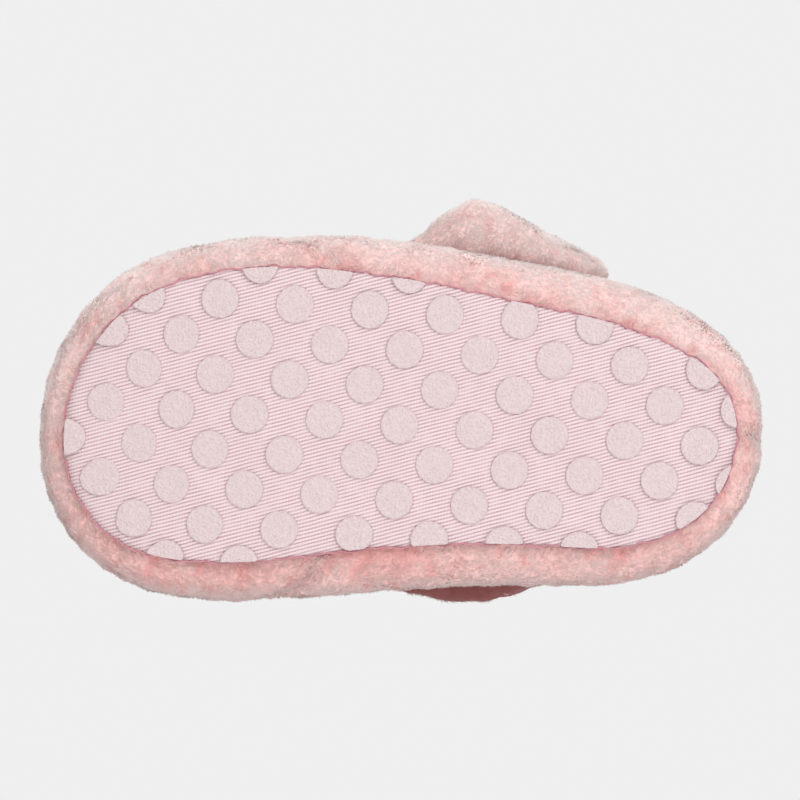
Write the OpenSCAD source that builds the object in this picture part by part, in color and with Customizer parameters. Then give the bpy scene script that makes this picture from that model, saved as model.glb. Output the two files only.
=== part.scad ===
// Baby bootie, left foot: plush ankle bootie with a wrap strap and a gripped fabric sole.
// +X points to the toe, +Y to the outer (lateral) side, +Z up. The origin is the middle
// of the bottom face of the centre grip dot, which stands on the floor.

/* [Sole] */
// Length of the fabric sole from seam to seam
sole_l = 115; // [95:1:138]
// Width of the fabric sole across the ball of the foot
sole_w = 50; // [42:1:60]
// Thickness of the ribbed sole fabric
sole_fabric_t = 1.2; // [0.8:0.1:2]
// Thickness of the foam on top of the sole fabric
midsole_t = 3; // [1.5:0.5:5]
// Thickness of the plush insole
insole_t = 3; // [1.5:0.5:5]
// How far the toe end of the sole curls up
toe_spring = 3; // [0:0.5:5]
// Diameter of the thread in the sole seam
seam_thread_d = 0.8; // [0.5:0.1:1.2]

/* [Grip dots] */
// Diameter of a grip dot
dot_d = 6.5; // [4:0.1:8]
// Distance between dots along a row
dot_pitch = 12.8; // [11:0.1:20]
// How far a dot stands out below the fabric
dot_h = 0.6; // [0.3:0.1:1.2]
// Angle between the rows of dots and the length of the sole
dot_turn = 4; // [0:1:45]

/* [Upper] */
// Height of the upper at the back of the ankle, without its binding
upper_h = 79; // [64:1:96]
// How much lower the ankle opening is at the front
collar_drop = 9; // [0:1:14]
// Length of the ankle opening, outside
collar_l = 53; // [44:1:64]
// Width of the ankle opening, outside
collar_w = 44; // [38:1:54]
// Distance from the middle of the sole back to the middle of the ankle opening
collar_back = 26; // [18:1:30]
// How far the ankle leans over to the outer side
collar_lean = 1.5; // [-3:0.5:3]
// Height above the seam at which the plush side is widest
roll_h = 10; // [7:0.5:14]
// Thickness of the plush
plush_t = 3; // [2:0.1:4]
// Thickness of the wadding between plush and lining
wadding_t = 2; // [1:0.1:3]
// Thickness of the lining
lining_t = 1.5; // [0.8:0.1:2.5]
// Height of the binding on the ankle edge
binding_h = 3.4; // [2:0.1:5]
// Width of the tape over the back seam inside
heel_tape_w = 9; // [6:1:14]
// Thickness of that tape
heel_tape_t = 0.7; // [0.4:0.1:1.2]

/* [Strap] */
// Width of the wrap strap at its two ends
strap_w = 24; // [22:1:28]
// Width of the strap over the instep
strap_neck_w = 19; // [14:1:20]
// Thickness of the strap over the instep, all three layers
strap_t = 4; // [3:0.5:6]
// Thickness of the strap where its ends are padded most
strap_pad_t = 6.5; // [4:0.5:8]
// How far the strap bows out over the outer side before it is fastened
strap_bow = 3; // [0:0.5:5]
// Length of the hook and loop tapes
tape_l = 12; // [8:1:14]
// Width of the hook and loop tapes
tape_w = 11; // [7:1:12]
// Thickness of one tape
tape_t = 0.9; // [0.6:0.1:1.2]

/* [Tongue] */
// Gap between the tongue and the edges beside it
tongue_gap = 0.8; // [0.5:0.1:1.5]
// How far the tongue stands above the front of the ankle edge
tongue_rise = 5; // [2:0.5:8]

/* [Hidden] */

// The sole's outline, as parts of half its length and half its width: it starts at the
// toe and runs past the outer side, the heel and the arch.
OUTLINE = [
    [1, -0.08], [0.93, 0.46], [0.74, 0.885], [0.42, 1.06],
    [0.035, 1], [-0.35, 0.825], [-0.68, 0.645], [-0.925, 0.35],
    [-1, -0.08], [-0.915, -0.575], [-0.68, -0.84], [-0.28, -0.82],
    [0.105, -0.86], [0.49, -0.95], [0.785, -0.865], [0.95, -0.535]
];
// How far the plush stands out past the seam at each of those points, in mm
BULGE = [3.4, 4.2, 4.4, 4.2, 4.7, 5.3, 5.7, 4.8, 3.8, 4.3, 5.1, 5.7, 6, 5.6, 5.2, 4.1];

wall_t = plush_t + wadding_t + lining_t;
seam_z = dot_h + sole_fabric_t;      // top of the sole fabric, where the upper is sewn on
half_l = sole_l / 2;
half_w = sole_w / 2;
spring_x = 0.35 * half_l;            // the sole starts to curl up here
roll_share = 0.16;                   // part of the profile's parameter spent on the roll
throat_v = 0.66;                     // where the vamp ends and the front slot starts
vamp_u = 0.235;                      // the vamp's side seam at the sole, as a part of a turn
slot_u = 0.095;                      // half the front slot, as a part of a turn
body_gap = 0.4;                      // clearance between pieces on different bodies
layer_gap = 0.1;                     // clearance between curved layers on one body
step = 0.004;                        // step for finding slopes
waist_u = 0.19;                      // where the upper draws in most beside the instep
waist_up = 9;                        // how much lower the sides bend inwards there
waist_in = 6;                        // how far they are drawn in
strap_from = -0.33;                  // the strap's sewn root on the medial side, part of a turn
fold_u = -0.25;                      // the strap is free from here on, and folds open here
strap_to = 0.335;                    // the strap's tip on the lateral side
strap_v_front = 0.86;                // height of the strap's middle over the instep
strap_v_end = 0.63;                  // height of the strap's middle at its two ends
bow_u = 0.268;                       // where the strap bows out most
root_t = 1.6;                        // the strap is sewn down to this thickness at its root
tip_t = 2.8;                         // and thins out to this at its tip
tape_u = 0.286;                      // middle of the hook and loop tapes
stitch_l = 2.2;
stitch_t = 0.5;
tab_gap = 2 * tape_t + body_gap + layer_gap;  // room for both tapes under the strap's tip

function blend(a, b, t) = a + (b - a) * t;
function ease(t) = let (c = min(1, max(0, t))) c * c * (3 - 2 * c);
function unit(p) = p / norm(p);
function hump(x, middle, spread) = exp(-pow((x - middle) / spread, 2));
function spread(a, b, n) = [for (i = [0:n]) blend(a, b, i / n)];

// A smooth closed curve through the points of a list; one turn is u = 0 to 1.
function around(list, u) =
    let (n = len(list), s = (u - floor(u)) * n, i = floor(s), t = s - i,
         a = list[(i + n - 1) % n], b = list[i % n],
         c = list[(i + 1) % n], d = list[(i + 2) % n])
    0.5 * (2 * b + (c - a) * t + (2 * a - 5 * b + 4 * c - d) * t * t
           + (3 * b - a - 3 * c + d) * t * t * t);

function sole_edge(u) = let (p = around(OUTLINE, u)) [p[0] * half_l, p[1] * half_w];
function edge_out(u) =
    let (t = sole_edge(u + step) - sole_edge(u - step)) unit([t[1], -t[0]]);
function inset_edge(u, inset) = sole_edge(u) - edge_out(u) * inset;
function lift(x) =
    let (t = max(0, (x - spring_x) / (half_l - spring_x))) toe_spring * t * t;
function lift_slope(x) =
    x < spring_x ? 0
    : atan(2 * toe_spring * (x - spring_x) / pow(half_l - spring_x, 2));

// The ankle edge: an ellipse, lower at the front.
function collar(u) =
    [collar_l / 2 * cos(360 * u) - collar_back,
     collar_w / 2 * sin(360 * u) + collar_lean,
     upper_h - collar_drop * (1 + cos(360 * u)) / 2];

// The outside of the upper: u goes round the shoe, v up from the sole seam to the ankle.
function roll(u, v) =
    let (s = sole_edge(u), a = 90 * v / roll_share,
         p = s + edge_out(u) * around(BULGE, u) * sin(a))
    [p[0], p[1], seam_z + lift(s[0]) + roll_h * (1 - cos(a))];
function rise(u, t) =
    let (a = roll(u, roll_share), d = collar(u), toe = ease((a[0] / half_l + 0.25) / 1.25),
         side = [cos(360 * u), sin(360 * u), 0], waist = hump(abs(u - round(u)), waist_u, 0.06),
         b = a + [0, 0, blend(16, 20, toe) - waist_up * waist],
         c = d + blend(side * 1.5 - [0, 0, 26], [12, 0, 0] - [0, 0, 36], toe)
             - [0, sign(sin(360 * u)) * waist_in * waist, 0])
    pow(1 - t, 3) * a + 3 * t * pow(1 - t, 2) * b + 3 * t * t * (1 - t) * c
    + pow(t, 3) * d;
function skin(u, v) =
    v <= roll_share ? roll(u, v) : rise(u, (v - roll_share) / (1 - roll_share));
function outward(u, v) =
    let (n = edge_out(u), lo = max(0, v - step),
         k = cross(skin(u + step, v) - skin(u - step, v), skin(u, v + step) - skin(u, lo)))
    unit(blend([n[0], n[1], 0], unit(k), ease(v / 0.35)));
function at(u, v, d) = skin(u, v) + outward(u, v) * d;

// Length of the profile from the seam to the ankle, and of a turn at one height.
function profile_l(u) =
    let (q = [for (i = [0:10]) skin(u, i / 10)]) sum([for (i = [0:9]) norm(q[i + 1] - q[i])]);
function sum(list, i = 0) = i >= len(list) ? 0 : list[i] + sum(list, i + 1);
function turn_l(u, v) = norm(skin(u + 0.01, v) - skin(u - 0.01, v)) / 0.02;

// A closed slab that follows the skin. Each cell of the grid is [u, v, inner, outer].
module slab(grid) {
    m = len(grid);
    n = len(grid[0]);
    k = m * n;
    points = [
        for (side = [3, 2]) for (row = grid) for (c = row) at(c[0], c[1], c[side])
    ];
    skin_faces = [
        for (i = [0:m - 2]) for (j = [0:n - 2])
            let (a = i * n + j, b = a + n, c = b + 1, d = a + 1)
            each [[a, c, b], [a, d, c], [k + a, k + b, k + c], [k + a, k + c, k + d]]
    ];
    edge = concat(
        [for (i = [0:m - 1]) i * n], [for (j = [1:n - 1]) (m - 1) * n + j],
        [for (i = [m - 2:-1:0]) i * n + n - 1], [for (j = [n - 2:-1:1]) j]
    );
    rim = [
        for (i = [0:len(edge) - 1])
            let (a = edge[i], b = edge[(i + 1) % len(edge)])
            each [[a, b, k + b], [a, k + b, k + a]]
    ];
    polyhedron(points, concat(skin_faces, rim));
}

// A flat layer of the sole inside its outline, curled up at the toe.
module sole_layer(inset, bottom, thick, n = 44, rings = 6) {
    loop = [for (i = [0:n - 1]) inset_edge(i / n, inset)];
    flat = concat([[0, 0]], [for (r = [1:rings]) for (p = loop) p * r / rings]);
    k = len(flat);
    points = [
        for (z = [bottom, bottom + thick]) for (p = flat) [p[0], p[1], z + lift(p[0])]
    ];
    centre = [
        for (i = [0:n - 1]) let (a = 1 + i, b = 1 + (i + 1) % n)
            each [[0, a, b], [k, k + b, k + a]]
    ];
    bands = [
        for (r = [0:rings - 2]) for (i = [0:n - 1])
            let (a = 1 + r * n + i, b = 1 + r * n + (i + 1) % n, c = a + n, d = b + n)
            each [[a, c, d], [a, d, b], [k + a, k + d, k + c], [k + a, k + b, k + d]]
    ];
    rim = [
        for (i = [0:n - 1])
            let (a = 1 + (rings - 1) * n + i, b = 1 + (rings - 1) * n + (i + 1) % n)
            each [[a, k + a, k + b], [a, k + b, b]]
    ];
    polyhedron(points, concat(centre, bands, rim));
}

// A swept bar: each ring of points is one cross-section.
module sweep(rings, closed = false) {
    m = len(rings);
    n = len(rings[0]);
    last = closed ? m - 1 : m - 2;
    sides = [
        for (i = [0:last]) for (j = [0:n - 1])
            let (a = i * n + j, b = i * n + (j + 1) % n,
                 c = ((i + 1) % m) * n + j, d = ((i + 1) % m) * n + (j + 1) % n)
            each [[a, b, d], [a, d, c]]
    ];
    caps = closed ? [] : [
        [for (j = [n - 1:-1:0]) j], [for (j = [0:n - 1]) (m - 1) * n + j]
    ];
    polyhedron([for (r = rings) each r], concat(sides, caps));
}

// --- sole ---------------------------------------------------------------------------

module outsole_fabric() {
    color("#f0d3d8") sole_layer(0, dot_h, sole_fabric_t);
}

module grip_dots() {
    reach = ceil(half_l / dot_pitch) + 1;
    limit = dot_d / 2 - 1.2;
    edge = [for (i = [0:95]) [sole_edge(i / 96), edge_out(i / 96)]];
    color("#f6e2e4") intersection() {
        union() {
            for (i = [-reach:reach]) for (j = [-reach:reach]) for (half = [0, 0.5]) {
                x = (i + half) * dot_pitch;
                y = (j + half) * dot_pitch;
                p = [x * cos(dot_turn) - y * sin(dot_turn),
                     x * sin(dot_turn) + y * cos(dot_turn)];
                near = min([for (e = edge) norm(p - e[0])]);
                out = max([for (e = edge) norm(p - e[0]) <= near ? (p - e[0]) * e[1] : -1e3]);
                if (out < limit)
                    translate([p[0], p[1], lift(p[0])])
                        rotate([0, -lift_slope(p[0]), 0])
                            cylinder(h = dot_h, d = dot_d, $fn = 48);
            }
        }
        translate([0, 0, -1]) linear_extrude(toe_spring + 5) polygon([for (e = edge) e[0]]);
    }
}

module midsole_foam() {
    color("#f4f0ea") sole_layer(wall_t + layer_gap, seam_z + layer_gap, midsole_t - layer_gap);
}

module insole() {
    bottom = seam_z + midsole_t + layer_gap;
    color("#f2c4c6") sole_layer(wall_t - 1.2, bottom, insole_t - layer_gap);
}

module sole_seam_thread() {
    r = seam_thread_d / 2;
    n = 64;
    color("#d98f9a") sweep([
        for (i = [0:n - 1])
            let (u = i / n, o = edge_out(u), p = inset_edge(u, -r - layer_gap))
            [for (a = [0:60:300])
                [p[0] + o[0] * r * cos(a), p[1] + o[1] * r * cos(a),
                 seam_z - r - layer_gap + lift(sole_edge(u)[0]) + r * sin(a)]]
    ], closed = true);
}

// --- upper --------------------------------------------------------------------------

rows_low = spread(0, throat_v, 8);
rows_high = [for (i = [1:4]) blend(throat_v, 1, i / 4)];

// The seam between vamp and quarters runs from the sole up to the front slot.
function vamp_edge(v) = blend(slot_u, vamp_u, pow(max(0, 1 - v / throat_v), 0.9));

module vamp_layer(inner, outer, cols = 18) {
    slab([
        for (i = [0:cols]) [for (v = rows_low)
            let (e = vamp_edge(v)) [blend(-e, e, i / cols), v, inner, outer]]
    ]);
}

module quarter_layer(from_side, to_side, inner, outer, cols) {
    slab([
        for (i = [0:cols]) [for (v = concat(rows_low, rows_high))
            let (e = vamp_edge(v), a = from_side < 0.1 ? e : from_side,
                 b = to_side > 0.9 ? 1 - e : to_side)
            [blend(a, b, i / cols), v, inner, outer]]
    ]);
}

module vamp() {
    color("#f2b5b5") vamp_layer(-plush_t, 0);
}

module quarter_lateral() {
    color("#f0b0b0") quarter_layer(0, 0.5, -plush_t, 0, 14);
}

module quarter_medial() {
    color("#f0b0b0") quarter_layer(0.5, 1, -plush_t, 0, 14);
}

module vamp_wadding() {
    color("#faf5ee") vamp_layer(-plush_t - wadding_t, -plush_t);
}

module quarter_wadding() {
    color("#faf5ee") quarter_layer(0, 1, -plush_t - wadding_t, -plush_t, 28);
}

module vamp_lining() {
    color("#f7d6d4") vamp_layer(-wall_t, -plush_t - wadding_t);
}

module quarter_lining() {
    color("#f7d6d4") quarter_layer(0, 1, -wall_t, -plush_t - wadding_t, 28);
}

module heel_seam_tape() {
    color("#eebcbf") slab([
        for (i = [-1:1]) [for (v = concat([for (v = rows_low) if (v > 0.1) v], rows_high))
            [0.5 + i * heel_tape_w / 2 / turn_l(0.5, v), v,
             -wall_t - heel_tape_t - layer_gap, -wall_t - layer_gap]]
    ]);
}

module collar_binding() {
    cols = 28;
    half = wall_t / 2 + 0.3;
    color("#f4bcbc") sweep([
        for (i = [0:cols])
            let (u = blend(slot_u, 1 - slot_u, i / cols), o = outward(u, 1),
                 up = unit(skin(u, 1) - skin(u, 1 - step)),
                 mid = at(u, 1, -wall_t / 2) + up * 2 * layer_gap)
            [for (a = [180:-30:0]) mid + o * half * cos(a) + up * binding_h * sin(a)]
    ]);
}

// --- strap --------------------------------------------------------------------------

strap_cols = 36;
strap_stations = [for (i = [0:strap_cols]) blend(fold_u, strap_to, i / strap_cols)];
function strap_mid(u) =
    blend(strap_v_front, strap_v_end, ease(abs(u) / 0.3));
// Distance from the strap's middle to its lower edge (w = -1) or its upper edge (w = 1).
// The lower edge drops towards the two ends, and the tip is round.
function strap_edge(u, w) =
    let (t = max(0, 1 - (strap_to - u) / 0.07), up = strap_neck_w / 2,
         down = blend(up, strap_w - up, ease((abs(u) - 0.18) / 0.07)))
    (w < 0 ? down : up) * sqrt(1 - pow(0.93 * t, 2));
// The w of a point at a distance y from the strap's middle.
function strap_w_at(u, y) = y / strap_edge(u, y);
// Clearance under the strap: it bows out at the lateral side and makes room for the tapes.
function strap_under(u, w) =
    let (tab = tab_gap * ease((u - 0.22) / 0.06),
         bow = strap_bow * hump(u, bow_u, 0.026) * (0.75 - 0.25 * w))
    body_gap + max(tab, bow) + 0.35 * min(tab, bow);
function strap_thick(u) =
    let (body = blend(strap_t, strap_pad_t, ease((abs(u) - 0.2) / 0.06)))
    u < 0 ? blend(root_t, body, ease((u - strap_from) / 0.04))
    : blend(body, tip_t, ease((u - bow_u) / 0.07));

// One layer of the strap over a list of stations, as a share of its thickness.
module strap_layer(stations, low, high) {
    slab([
        for (u = stations)
            let (l = profile_l(u), t = strap_thick(u))
            [for (w = [-1:0.25:1])
                let (d = strap_under(u, w))
                [u, strap_mid(u) + w * strap_edge(u, w) / l, d + low * t, d + high * t]]
    ]);
}

// Height of a stitch's foot on the strap's face, clear of the face's own facets.
strap_top = function (u, w) strap_under(u, w) + strap_thick(u) + 4 * layer_gap;

module strap_face() {
    color("#f3b4b4") strap_layer(strap_stations, 0.6, 1);
}

module strap_core() {
    color("#faf5ee") strap_layer([for (i = [1:strap_cols - 1]) strap_stations[i]], 0.3, 0.6);
}

module strap_lining() {
    color("#f7d6d4") strap_layer(strap_stations, 0, 0.3);
}

// The end of the strap that is sewn flat to the medial quarter and doesn't move.
module strap_root() {
    last = fold_u - body_gap / turn_l(fold_u, strap_v_end);
    color("#f3b4b4") strap_layer(spread(strap_from, last, 10), 0, 1);
}

// A tape under the strap's tip. low and high give its two faces, as heights above the
// skin at a turn u and at a share w of the way to the strap's edge.
module tape(low, high) {
    du = tape_l / 2 / turn_l(tape_u, strap_v_end);
    slab([
        for (i = [-4:4]) let (u = tape_u + i / 4 * du)
            [for (w = [-1:0.25:1])
                let (y = w * tape_w / 2, v = strap_mid(u) + y / profile_l(u), x = strap_w_at(u, y))
                [u, v, low(u, x), high(u, x)]]
    ]);
}

// Short stitches round a tape, just inside its edge.
module tape_stitches(low, high) {
    du = tape_l / 2 / turn_l(tape_u, strap_v_end);
    inset = 0.86;
    thin = 0.25;
    for (i = [-1:2:1]) for (k = [-1:1])
        stitch(tape_u + k * 0.55 * du, i * inset * tape_w / 2, stitch_l / 2, thin, low, high);
    for (i = [-1:2:1]) for (k = [-1:1])
        stitch(tape_u + i * inset * du, k * 0.5 * tape_w / 2, thin, stitch_l / 2, low, high);
}

module stitch(u, y, half_along, half_across, low, high) {
    l = profile_l(u);
    du = half_along / turn_l(u, strap_v_end);
    slab([
        for (i = [-1:2:1]) [for (j = [-1:2:1])
            [u + i * du, strap_mid(u) + (y + j * half_across) / l,
             low(u, strap_w_at(u, y)), high(u, strap_w_at(u, y))]]
    ]);
}

module loop_tape() {
    color("#f3c9cb") tape(function (u, w) layer_gap, function (u, w) tape_t);
}

module loop_tape_stitches() {
    color("#d98f9a") tape_stitches(
        function (u, w) tape_t + 0.01, function (u, w) tape_t + body_gap / 2);
}

module hook_tape() {
    color("#efc2c6") tape(
        function (u, w) strap_under(u, w) - tape_t,
        function (u, w) strap_under(u, w) - 3 * layer_gap);
}

// The stitches that hold the hook tape show on the face of the strap.
module hook_tape_stitches() {
    color("#d98f9a") tape_stitches(strap_top, function (u, w) strap_top(u, w) + stitch_t);
}

// Two rows of stitches that hold the strap's root to the medial quarter.
module strap_root_stitches() {
    color("#d98f9a") for (u = [strap_from + 0.008, strap_from + 0.03]) for (k = [0:8])
        stitch(u, blend(1.6 - strap_edge(u, -1), strap_edge(u, 1) - 1.6, k / 8), 0.3, stitch_l / 2,
               strap_top, function (u, w) strap_top(u, w) + stitch_t);
}

// --- tongue -------------------------------------------------------------------------

module tongue_layer(inner, outer) {
    rows = spread(throat_v + tongue_gap / profile_l(0), 1 + tongue_rise / profile_l(0), 7);
    slab([
        for (i = [-4:4]) [for (v = rows)
            [i / 4 * (slot_u - tongue_gap / turn_l(0, v)), v, inner, outer]]
    ]);
}

module tongue_face() {
    color("#f2b5b5") tongue_layer(-body_gap - plush_t, -body_gap);
}

module tongue_lining() {
    color("#f7d6d4") tongue_layer(-body_gap - plush_t - lining_t, -body_gap - plush_t);
}

outsole_fabric();
grip_dots();
midsole_foam();
insole();
sole_seam_thread();
vamp();
quarter_lateral();
quarter_medial();
vamp_wadding();
quarter_wadding();
vamp_lining();
quarter_lining();
heel_seam_tape();
collar_binding();
loop_tape();
loop_tape_stitches();
tongue_face();
tongue_lining();
strap_root();
strap_root_stitches();
strap_face();
strap_core();
strap_lining();
hook_tape();
hook_tape_stitches();
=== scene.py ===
"""Looks of a plush baby bootie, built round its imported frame.

The bootie stands on its grip dots at z = 0, with its toe towards +X and its outer side
towards +Y. Every size below is in metres. Each sub-assembly is a class that builds its own
pieces, and each finish is a small class that makes one node material.
"""
import logging
import math
from dataclasses import dataclass, field
from enum import Enum
from typing import Callable, Protocol, Sequence

import bmesh
import bpy
import numpy as np
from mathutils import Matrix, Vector
from mathutils.bvhtree import BVHTree


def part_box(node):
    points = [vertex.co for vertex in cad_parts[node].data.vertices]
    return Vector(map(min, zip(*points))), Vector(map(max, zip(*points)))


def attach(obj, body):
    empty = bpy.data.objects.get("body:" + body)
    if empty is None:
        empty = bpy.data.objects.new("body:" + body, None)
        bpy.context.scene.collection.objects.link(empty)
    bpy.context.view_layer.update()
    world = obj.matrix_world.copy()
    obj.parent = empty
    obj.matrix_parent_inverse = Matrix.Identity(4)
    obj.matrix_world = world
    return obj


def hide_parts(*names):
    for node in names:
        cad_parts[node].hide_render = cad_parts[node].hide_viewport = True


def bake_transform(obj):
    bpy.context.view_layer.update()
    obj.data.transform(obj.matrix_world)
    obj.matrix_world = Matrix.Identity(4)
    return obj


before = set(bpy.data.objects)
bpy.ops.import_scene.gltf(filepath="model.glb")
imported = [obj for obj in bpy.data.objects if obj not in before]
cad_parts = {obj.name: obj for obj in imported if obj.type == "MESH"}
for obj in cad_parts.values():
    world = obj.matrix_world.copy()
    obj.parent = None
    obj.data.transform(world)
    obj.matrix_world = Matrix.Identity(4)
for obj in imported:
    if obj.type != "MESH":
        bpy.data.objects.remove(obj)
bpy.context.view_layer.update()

LOG = logging.getLogger("bootie")
MM = 0.001
TINY = 1e-9
Colour = tuple[float, float, float]


class Body(Enum):
    """The rigid bodies of the frame that pieces ride on."""

    UPPER = "upper"
    STRAP = "strap"
    TONGUE = "tongue"


# --------------------------------------------------------------------------- node trees


class Shader:
    """A material's node tree, with short methods for the nodes that the finishes use."""

    def __init__(self, name: str) -> None:
        """Starts a material with one Principled shader.

        Args:
            name: The material's name.
        """
        self.material = bpy.data.materials.new(name)
        self.material.use_nodes = True
        self.tree = self.material.node_tree
        self.surface = self.tree.nodes["Principled BSDF"]

    def node(self, kind: str, **inputs: object) -> bpy.types.Node:
        """Adds a node and fills its inputs.

        Args:
            kind: The node's type without its ShaderNode prefix.
            **inputs: Values or output sockets, by input name with _ for a space.

        Returns:
            The new node.
        """
        made = self.tree.nodes.new("ShaderNode" + kind)
        for key, value in inputs.items():
            self.feed(made.inputs[key.replace("_", " ")], value)
        return made

    def feed(self, socket: bpy.types.NodeSocket, value: object) -> None:
        """Links an output socket to an input, or sets the input's own value.

        Args:
            socket: The input to fill.
            value: An output socket, or a plain value.
        """
        if isinstance(value, bpy.types.NodeSocket):
            self.tree.links.new(value, socket)
        else:
            socket.default_value = value

    def math(self, operation: str, *values: object) -> bpy.types.NodeSocket:
        """Adds a Math node.

        Args:
            operation: What the node works out.
            *values: One to three numbers or numbers' sockets.

        Returns:
            The result's socket.
        """
        made = self.tree.nodes.new("ShaderNodeMath")
        made.operation = operation
        for socket, value in zip(made.inputs, values):
            self.feed(socket, value)
        return made.outputs[0]

    def object_point(self, scale: Sequence[float] = (1, 1, 1),
                     turn: float = 0.0) -> bpy.types.NodeSocket:
        """The shaded point in the row frame, scaled and turned about Z.

        Args:
            scale: Factors along the three axes.
            turn: Angle about Z in radians, applied before the scaling.

        Returns:
            A vector socket.
        """
        place = self.node("TexCoord").outputs["Object"]
        turned = self.node("VectorRotate", Vector=place, Angle=-turn).outputs[0]
        made = self.tree.nodes.new("ShaderNodeVectorMath")
        made.operation = "MULTIPLY"
        self.feed(made.inputs[0], turned)
        made.inputs[1].default_value = scale
        return made.outputs[0]

    def noise(self, size: float, detail: float = 3.0, rough: float = 0.55) -> bpy.types.NodeSocket:
        """Noise from 0 to 1.

        Args:
            size: About how large its lumps are.
            detail: How many finer layers it has.
            rough: How strong the finer layers are.

        Returns:
            A number's socket.
        """
        made = self.node("TexNoise", Vector=self.object_point(), Scale=1 / size, Detail=detail)
        made.inputs["Roughness"].default_value = rough
        return made.outputs[0]

    def attribute(self, name: str) -> bpy.types.NodeSocket:
        """Reads a number that the mesh carries at each point.

        Args:
            name: The number's name.

        Returns:
            The number's socket.
        """
        made = self.tree.nodes.new("ShaderNodeAttribute")
        made.attribute_name = name
        return made.outputs["Fac"]

    def blend(self, share: object, low: object, high: object) -> bpy.types.NodeSocket:
        """Mixes two colours.

        Args:
            share: 0 for the low colour, 1 for the high colour.
            low: A colour or a colour socket.
            high: A colour or a colour socket.

        Returns:
            A colour socket.
        """
        made = self.tree.nodes.new("ShaderNodeMix")
        made.data_type = "RGBA"
        self.feed(made.inputs[0], share)
        for socket, value in ((made.inputs[6], low), (made.inputs[7], high)):
            self.feed(socket, value if isinstance(value, bpy.types.NodeSocket) else (*value, 1))
        return made.outputs[2]

    def remap(self, value: object, low: float, high: float,
              to_low: float = 0.0, to_high: float = 1.0) -> bpy.types.NodeSocket:
        """Maps a value smoothly from one range to another, clamped at both ends.

        Args:
            value: A number or a number's socket.
            low: The value that gives to_low.
            high: The value that gives to_high.
            to_low: Where the result starts.
            to_high: Where the result ends.

        Returns:
            The result's socket.
        """
        made = self.tree.nodes.new("ShaderNodeMapRange")
        made.interpolation_type = "SMOOTHSTEP"
        ends = {"From Min": low, "From Max": high, "To Min": to_low, "To Max": to_high}
        for key, number in ends.items():
            made.inputs[key].default_value = number
        self.feed(made.inputs["Value"], value)
        return made.outputs[0]

    def bump(self, height: object, depth: float, strength: float = 1.0) -> None:
        """Gives the surface a relief of the given depth in metres."""
        made = self.node("Bump", Height=height, Distance=depth, Strength=strength)
        self.feed(self.surface.inputs["Normal"], made.outputs[0])

    def sheen(self, weight: float, rough: float, tint: Colour) -> None:
        """Adds the soft edge glow of short fibres.

        Args:
            weight: How strong the glow is.
            rough: How widely it spreads.
            tint: Its colour.
        """
        self.surface.inputs["Sheen Weight"].default_value = weight
        self.surface.inputs["Sheen Roughness"].default_value = rough
        self.surface.inputs["Sheen Tint"].default_value = (*tint, 1)


# --------------------------------------------------------------------------- finishes

FIBRE_GLOW: Colour = (1.0, 0.86, 0.84)


class Finish(Protocol):
    """What every finish has: a name, and a method that makes its material."""

    @property
    def name(self) -> str:
        """The material's name."""

    def material(self) -> bpy.types.Material:
        """Makes the material."""


@dataclass(frozen=True)
class PileFinish:
    """Fibres of the plush: coral at their roots, pale and a little grey at their tips."""

    name: str
    root: Colour
    middle: Colour
    tip: Colour
    root_end: float = 0.6
    tip_start: float = 0.45
    coral_and_side_shade_share: float = 0.8
    value_range: tuple[float, float] = (0.93, 1.05)
    saturation_range: tuple[float, float] = (1.12, 0.88)
    roughness: float = 0.72

    def material(self) -> bpy.types.Material:
        """Makes the fibre material from the pile, tone and coral numbers of each lock; the coral number
        carries coral ground and painted shade on the inner side.

        Returns:
            The fibre material.
        """
        s = Shader(self.name)
        along = s.attribute("pile")
        lower = s.blend(s.remap(along, 0.0, self.root_end), self.root, self.middle)
        upper = s.blend(s.remap(along, self.tip_start, 1.0), lower, self.tip)
        # Towards the root colour where the coral number is high: coral ground, and painted shade on the
        # inner side.
        warm = s.blend(s.math("MULTIPLY", s.attribute("coral_and_side_shade"), self.coral_and_side_shade_share), upper, self.root)
        tone = s.attribute("tone")
        shade = s.node("HueSaturation", Color=warm)
        s.feed(shade.inputs["Value"], s.remap(tone, 0.0, 1.0, *self.value_range))
        s.feed(shade.inputs["Saturation"], s.remap(tone, 0.0, 1.0, *self.saturation_range))
        s.feed(s.surface.inputs["Base Color"], shade.outputs[0])
        s.surface.inputs["Roughness"].default_value = self.roughness
        s.sheen(0.55, 0.35, FIBRE_GLOW)
        s.bump(s.noise(0.25 * MM, 2.0), 0.03 * MM, 0.5)
        return s.material


@dataclass(frozen=True)
class FleeceFinish:
    """Backing of the plush between the fibres, and the brushed face of the lining."""

    name: str
    deep: Colour
    pale: Colour
    lump: float
    relief: float
    sheen: float = 0.3
    takes_coral_and_side_shade: bool = False
    coarse_share: float = 0.7
    deep_share: float = 0.35

    def material(self) -> bpy.types.Material:
        """Makes a matte, lumpy, brushed cloth; one that takes the coral number turns coral there, for
        coral ground and for painted shade on the inner side.

        Returns:
            The cloth's material.
        """
        s = Shader(self.name)
        lumps = s.noise(self.lump, 4.0, 0.62)
        fine = s.noise(self.lump / 6, 2.0)
        height = s.math("ADD", s.math("MULTIPLY", lumps, self.coarse_share),
                        s.math("MULTIPLY", fine, 1 - self.coarse_share))
        shade = self.deep
        if self.takes_coral_and_side_shade:
            share = self.deep_share
            shade = tuple(share * d + (1 - share) * p for d, p in zip(self.deep, self.pale))
        colour = s.blend(s.remap(height, 0.34, 0.64), shade, self.pale)
        if self.takes_coral_and_side_shade:
            # Coral ground, and painted shade on the inner side, from the mesh's coral number.
            colour = s.blend(s.attribute("coral_and_side_shade"), colour, self.deep)
        s.feed(s.surface.inputs["Base Color"], colour)
        s.feed(s.surface.inputs["Roughness"], s.remap(fine, 0.3, 0.7, 0.8, 0.95))
        s.sheen(self.sheen, 0.5, FIBRE_GLOW)
        s.bump(height, self.relief)
        return s.material


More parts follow.
